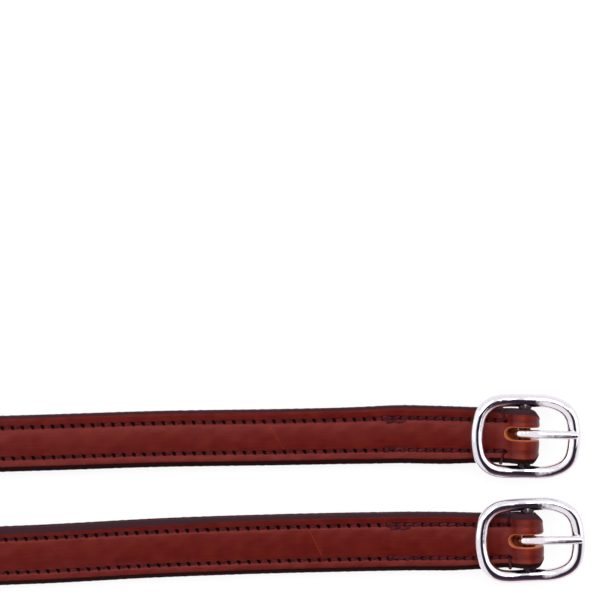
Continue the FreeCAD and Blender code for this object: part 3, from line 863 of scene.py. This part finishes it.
class Nodes:
    """Small helper for building the node tree of a material or a world."""

    def __init__(self, owner, shader_name):
        owner.use_nodes = True
        self.owner = owner
        self.tree = owner.node_tree
        self.shader = self.tree.nodes[shader_name]

    def add(self, kind, inputs=None, **settings):
        node = self.tree.nodes.new(kind)
        for key, value in settings.items():
            setattr(node, key, value)
        for key, value in (inputs or {}).items():
            self.put(node.inputs[key], value)
        return node

    def put(self, socket, value):
        if isinstance(value, bpy.types.NodeSocket):
            self.tree.links.new(value, socket)
        else:
            socket.default_value = value

    def math(self, operation, a, b=0.0, clamp=False):
        node = self.add("ShaderNodeMath", operation=operation, use_clamp=clamp)
        for index, value in enumerate((a, b)):
            self.put(node.inputs[index], value)
        return node.outputs[0]

    def plus(self, a, b):
        return self.math("ADD", a, b)

    def minus(self, a, b):
        return self.math("SUBTRACT", a, b)

    def times(self, a, b):
        return self.math("MULTIPLY", a, b)

    def absolute(self, a):
        return self.math("ABSOLUTE", a)

    def attribute(self, name):
        return self.add("ShaderNodeAttribute", attribute_name=name).outputs["Fac"]

    def noise(self, place, scale, detail, roughness=0.5):
        inputs = {"Vector": place, "Scale": scale, "Detail": detail, "Roughness": roughness}
        return self.add("ShaderNodeTexNoise", inputs).outputs[0]

    def mix(self, share, a, b):
        node = self.add("ShaderNodeMix", {0: share, 6: a, 7: b}, data_type="RGBA")
        return node.outputs[2]

    def step(self, value, low, high):
        inputs = {"Value": value, "From Min": low, "From Max": high}
        node = self.add("ShaderNodeMapRange", inputs, interpolation_type="SMOOTHSTEP")
        return node.outputs["Result"]

    def below(self, value, low, high):
        return self.minus(1.0, self.step(value, low, high))

    def bump(self, height, strength, distance):
        inputs = {"Height": height, "Strength": strength, "Distance": distance}
        return self.add("ShaderNodeBump", inputs).outputs[0]

    def set(self, **values):
        for key, value in values.items():
            self.put(self.shader.inputs[key.replace("_", " ")], value)


def new_material(name):
    """Node helper of a new material."""
    return Nodes(bpy.data.materials.new(name), "Principled BSDF")


def linear(shade):
    """Linear colour from 0-255 display values."""
    def one(value):
        value /= 255
        return value / 12.92 if value <= 0.04045 else ((value + 0.055) / 1.055) ** 2.4
    return (*(one(value) for value in shade), 1.0)


def leather_textures(n):
    """Distance to the nearest pore line, fine grain, soft patches and drawn fibres."""
    place = n.add("ShaderNodeCombineXYZ", {"X": n.attribute("along"), "Y": n.attribute("cross")})
    place = place.outputs[0]
    pores = n.add("ShaderNodeTexVoronoi", {"Vector": place, "Scale": 3.2}, feature="DISTANCE_TO_EDGE")
    streaks = n.add("ShaderNodeMapping", {"Vector": place, "Scale": (0.10, 2.4, 1.0)})
    fine = n.noise(place, 6.0, 5.0, 0.65)
    soft = n.noise(place, 0.30, 3.0)
    drawn = n.noise(streaks.outputs[0], 1.0, 4.0)
    return pores.outputs[0], fine, soft, drawn


def grain_colour(n, shades, pores, fine, soft, drawn):
    """Colour of the dyed grain: patches, specks and pores."""
    tone = n.plus(n.times(soft, 0.55), n.times(drawn, 0.45))
    colour = n.mix(n.step(tone, 0.36, 0.66), linear(shades["deep"]), linear(shades["warm"]))
    colour = n.mix(n.times(n.step(fine, 0.58, 0.78), 0.45), colour, linear(shades["speck"]))
    return n.mix(n.times(n.below(pores, 0.0, 0.09), 0.22), colour, linear(shades["pore"]))


def crest_highlight_band(n, drawn):
    """Mask of the lighter band on the crest of the fold over the bar, a painted highlight."""
    away = n.times(n.minus(n.attribute("row_x"), CREST_HIGHLIGHT_RUN), 1 / CREST_HIGHLIGHT_HALF)
    band = n.math("SUBTRACT", 1.0, n.absolute(away), clamp=True)
    return n.times(band, n.step(drawn, 0.25, 0.6))


def crease_line(n, fine):
    """Mask of the cracked line of the crease, between the stitch rows."""
    line = n.below(n.absolute(n.attribute("crease_x")), 0.2, 1.2)
    between_rows = n.below(n.absolute(n.attribute("cross")), 2.2, 3.6)
    return n.times(n.times(line, between_rows), n.step(fine, 0.3, 0.6))


def edge_paint(n, fine):
    """Mask of the painted edges, with a ragged border."""
    ragged = n.times(n.minus(fine, 0.5), 0.5)
    return n.step(n.plus(n.attribute("edge"), ragged), 0.25, 0.75)


def leather_material(name, shades, rough):
    """Oiled leather: grain, drawn fibres, awl holes along the rows, raw cuts and painted edges."""
    n = new_material(name)
    pores, fine, soft, drawn = leather_textures(n)
    holes = awl_holes(n, fine)
    paint = edge_paint(n, fine)
    far_side = n.step(n.attribute("cross"), -1.0, 1.0)
    # Mask of the painted shade along the stitch grooves
    groove_shade = n.below(n.absolute(n.attribute("row_y")), 0.10, 0.75)
    raw = n.math("MAXIMUM", n.step(n.attribute("cut"), 0.3, 0.8), slot_rim(n, fine))
    colour = grain_colour(n, shades, pores, fine, soft, drawn)
    # Painted highlight along the crest over the bar
    colour = n.mix(n.times(crest_highlight_band(n, drawn), 0.5), colour, linear(shades["wear_and_highlight"]))
    colour = n.mix(n.times(crease_line(n, fine), 0.45), colour, linear(shades["wear_and_highlight"]))
    # Painted shade along the stitch grooves, in the pore colour
    colour = n.mix(n.times(groove_shade, 0.45), colour, linear(shades["pore"]))
    # The awl holes are coloured with painted shadow
    colour = n.mix(holes, colour, linear(PAINTED_HOLE_SHADOW))
    colour = n.mix(raw, colour, linear(RAW_SHADE))
    # Edge dye colour with painted shade on the near edge and painted reflected light on the far edge
    painted = n.mix(far_side, linear(NEAR_EDGE_DYE_SHADED), linear(FAR_EDGE_DYE_LIT))
    dull = n.times(paint, n.plus(0.7, n.times(far_side, 0.3)))
    dull = n.math("MAXIMUM", dull, holes)
    uneven = n.plus(n.times(fine, 0.16), n.times(paint, 0.4))
    height = n.plus(n.times(n.step(pores, 0.0, 0.12), 0.5), n.times(fine, 0.7))
    height = n.minus(height, n.times(holes, 2.5))
    n.set(
        Base_Color=n.mix(paint, colour, painted), Roughness=n.plus(uneven, rough - 0.08),
        IOR=LEATHER_IOR, Specular_IOR_Level=n.minus(0.5, n.times(dull, 0.45)),
        Specular_Tint=LEATHER_SHINE, Normal=n.bump(height, *LEATHER_BUMP),
    )
    return n.owner


def slot_rim(n, fine):
    """Mask of the raw, bevelled rim round the tongue's slot."""
    run = n.attribute("row_x")
    past = n.math("MAXIMUM", n.minus(run, SLOT_TOP_RUN - SLOT_HALF), 0.0)
    beside = n.attribute("slot_y")
    away = n.math("SQRT", n.plus(n.math("POWER", past, 2.0), n.times(beside, beside)))
    ragged = n.times(n.minus(fine, 0.5), 0.12)
    away = n.plus(n.minus(away, SLOT_HALF), ragged)
    rim = n.below(away, RIM_WIDTH - 0.07, RIM_WIDTH + 0.07)
    return n.times(rim, n.math("LESS_THAN", run, SLOT_AREA_END))


def awl_holes(n, fine):
    """Mask of the slanted awl holes along the stitch rows, which are coloured with painted shadow in
    place of their depth.
    """
    row_x, row_y = n.attribute("row_x"), n.attribute("row_y")
    masks = []
    for pitch, start, low, high in (
        (MACHINE_PITCH, MACHINE_START, TURNBACK_END - 0.4, TIP_RUN),
        (HAND_PITCH, HAND_START, HAND_START - 1.0, TURNBACK_END - 0.4),
    ):
        cycle = n.plus(n.math("DIVIDE", n.minus(row_x, start), pitch), 0.5)
        place = n.times(n.minus(n.math("FRACT", cycle), 0.5), pitch)
        long_way = n.math("DIVIDE", n.plus(place, row_y), math.sqrt(2) * HOLE_LONG)
        short_way = n.math("DIVIDE", n.minus(place, row_y), math.sqrt(2) * HOLE_SHORT)
        distance = n.plus(n.math("POWER", long_way, 2.0), n.math("POWER", short_way, 2.0))
        distance = n.plus(n.math("SQRT", distance), n.times(n.minus(fine, 0.5), 0.8))
        here = n.times(n.math("GREATER_THAN", row_x, low), n.math("LESS_THAN", row_x, high))
        masks.append(n.times(n.below(distance, 0.75, 1.15), here))
    return n.math("MAXIMUM", masks[0], masks[1])


def thread_material(name, dark, light):
    """Waxed twisted thread."""
    n = new_material(name)
    place = n.add("ShaderNodeTexCoord").outputs["Object"]
    fibre = n.noise(place, 6000.0, 3.0)
    drift = n.noise(place, 500.0, 2.0)
    n.set(
        Base_Color=n.mix(n.step(drift, 0.35, 0.7), linear(dark), linear(light)),
        Roughness=THREAD_ROUGH, Specular_IOR_Level=0.12, Normal=n.bump(fibre, *THREAD_BUMP),
    )
    return n.owner


def chrome_material(name, rough):
    """Polished plate with faint waviness, and painted shade darkening the bar where it meets leather and
    frame.
    """
    n = new_material(name)
    place = n.add("ShaderNodeTexCoord").outputs["Object"]
    wave = n.noise(place, 300.0, 2.0)
    fine = n.noise(place, 2600.0, 4.0)
    bar_shade = n.attribute("bar_shade")
    plate = n.mix(n.step(fine, 0.4, 0.75), CHROME_LIGHT, CHROME_DARK)
    rough = n.plus(n.times(fine, 0.08), rough)
    n.set(
        # The bar is darkened with painted shade
        Base_Color=n.mix(bar_shade, plate, PAINTED_BAR_SHADE), Metallic=1.0,
        Roughness=n.plus(rough, n.times(bar_shade, 0.25)), Normal=n.bump(wave, *CHROME_BUMP),
    )
    return n.owner


def mark_bar_shade(obj, strap):
    """Point attribute of the painted shade on the bar: 1 on the bar and its flares, fading out on the
    side members.
    """
    count = len(obj.data.vertices)
    points = np.empty(3 * count, dtype=np.float32)
    obj.data.vertices.foreach_get("co", points)
    points = points.reshape(count, 3) / MM
    heading = math.radians(strap["heading"])
    x = points[:, 0] - strap["bar"][0]
    y = points[:, 1] - strap["bar"][1]
    beside = x * math.cos(heading) + y * math.sin(heading)
    outward = np.abs(y * math.cos(heading) - x * math.sin(heading))
    by_bar = np.clip((BAR_SHADE_BESIDE - np.abs(beside)) / 0.4, 0, 1)
    between = np.clip((BAR_SHADE_OUTWARD - outward) / 0.35, 0, 1)
    near = by_bar * between
    layer = obj.data.attributes.new("bar_shade", "FLOAT", "POINT")
    layer.data.foreach_set("value", near.astype(np.float32))


def dress_metal(name, strap, frame_material, tongue_material):
    """Put the plated finish on the CAD buckle parts."""
    for node, material, slot_name in (
        ("buckle_frame_" + name, frame_material, "chrome_frame"),
        ("buckle_tongue_" + name, tongue_material, "chrome_tongue"),
    ):
        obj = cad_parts[node]
        obj.data.materials.clear()
        obj.data.materials.append(material)
        obj.data.polygons.foreach_set("use_smooth", [True] * len(obj.data.polygons))
    mark_bar_shade(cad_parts["buckle_frame_" + name], strap)


# ---- studio ----

def make_floor():
    """Pale sheet the straps lie on."""
    signs = ((-1, -1), (1, -1), (1, 1), (-1, 1))
    corners = [(a * SHEET_HALF, b * SHEET_HALF, SHEET_Z) for a, b in signs]
    mesh = bpy.data.meshes.new("floor")
    mesh.from_pydata(corners, [], [(0, 1, 2, 3)])
    floor = bpy.data.objects.new("floor", mesh)
    bpy.context.scene.collection.objects.link(floor)
    n = new_material("pale_paper")
    n.set(
        Base_Color=SHEET_GREY, Roughness=0.9, Emission_Color=(1.0, 1.0, 1.0, 1.0),
        Emission_Strength=SHEET_GLOW,
    )
    mesh.materials.append(n.owner)


def make_world():
    """White tent with a dark patch overhead and towards -Y, which the plated parts reflect."""
    n = Nodes(bpy.data.worlds.new("studio"), "Background")
    bpy.context.scene.world = n.owner
    direction = n.add("ShaderNodeTexCoord").outputs["Generated"]
    x, y, z = n.add("ShaderNodeSeparateXYZ", {0: direction}).outputs
    between = n.times(n.step(x, -0.26, -0.08), n.below(x, 0.62, 0.90))
    dark = n.times(between, n.times(n.below(y, 0.12, 0.30), n.step(z, 0.12, 0.30)))
    patch = n.mix(n.step(z, 0.30, 0.80), PATCH_LOW, PATCH_HIGH)
    n.set(Color=n.mix(dark, TENT_WHITE, patch), Strength=1.0)


def make_lights():
    """Soft panels: one on each side and one beyond the straps."""
    for name, place, size, power in PANELS:
        data = bpy.data.lights.new(name, "AREA")
        data.shape = "SQUARE"
        data.size = size
        data.energy = power
        light = bpy.data.objects.new(name, data)
        light.location = place
        towards = np.array(PANEL_AIM) - np.array(place)
        pitch = math.atan2(math.hypot(towards[0], towards[1]), -towards[2])
        light.rotation_euler = (pitch, 0.0, math.atan2(-towards[0], towards[1]))
        bpy.context.scene.collection.objects.link(light)


def make_camera():
    """Camera looking straight down, framed as the straps are seen."""
    data = bpy.data.cameras.new("camera")
    data.lens = CAMERA_LENS
    data.sensor_width = CAMERA_SENSOR
    data.clip_start = 0.01
    data.dof.use_dof = False
    camera = bpy.data.objects.new("camera", data)
    camera.location = CAMERA_PLACE
    bpy.context.scene.collection.objects.link(camera)
    bpy.context.scene.camera = camera


def main():
    """Build everything."""
    step = ROW_STEP
    leather = leather_material("bridle_leather_look", LEATHER_SHADES, LEATHER_ROUGH)
    lining = leather_material("lining_look", LINING_SHADES, LINING_ROUGH)
    machine = thread_material("machine_thread_look", *MACHINE_SHADES)
    hand = thread_material("hand_thread_look", *HAND_SHADES)
    frame_look = chrome_material("chrome_frame_look", FRAME_ROUGH)
    tongue_look = chrome_material("chrome_tongue_look", TONGUE_ROUGH)
    for name, strap in STRAPS.items():
        build_leather(name, strap, step, leather, lining)
        build_threads(name, strap, machine, hand)
        dress_metal(name, strap, frame_look, tongue_look)
    make_floor()
    make_world()
    make_lights()
    make_camera()
    bpy.context.scene.view_settings.view_transform = "Standard"


main()
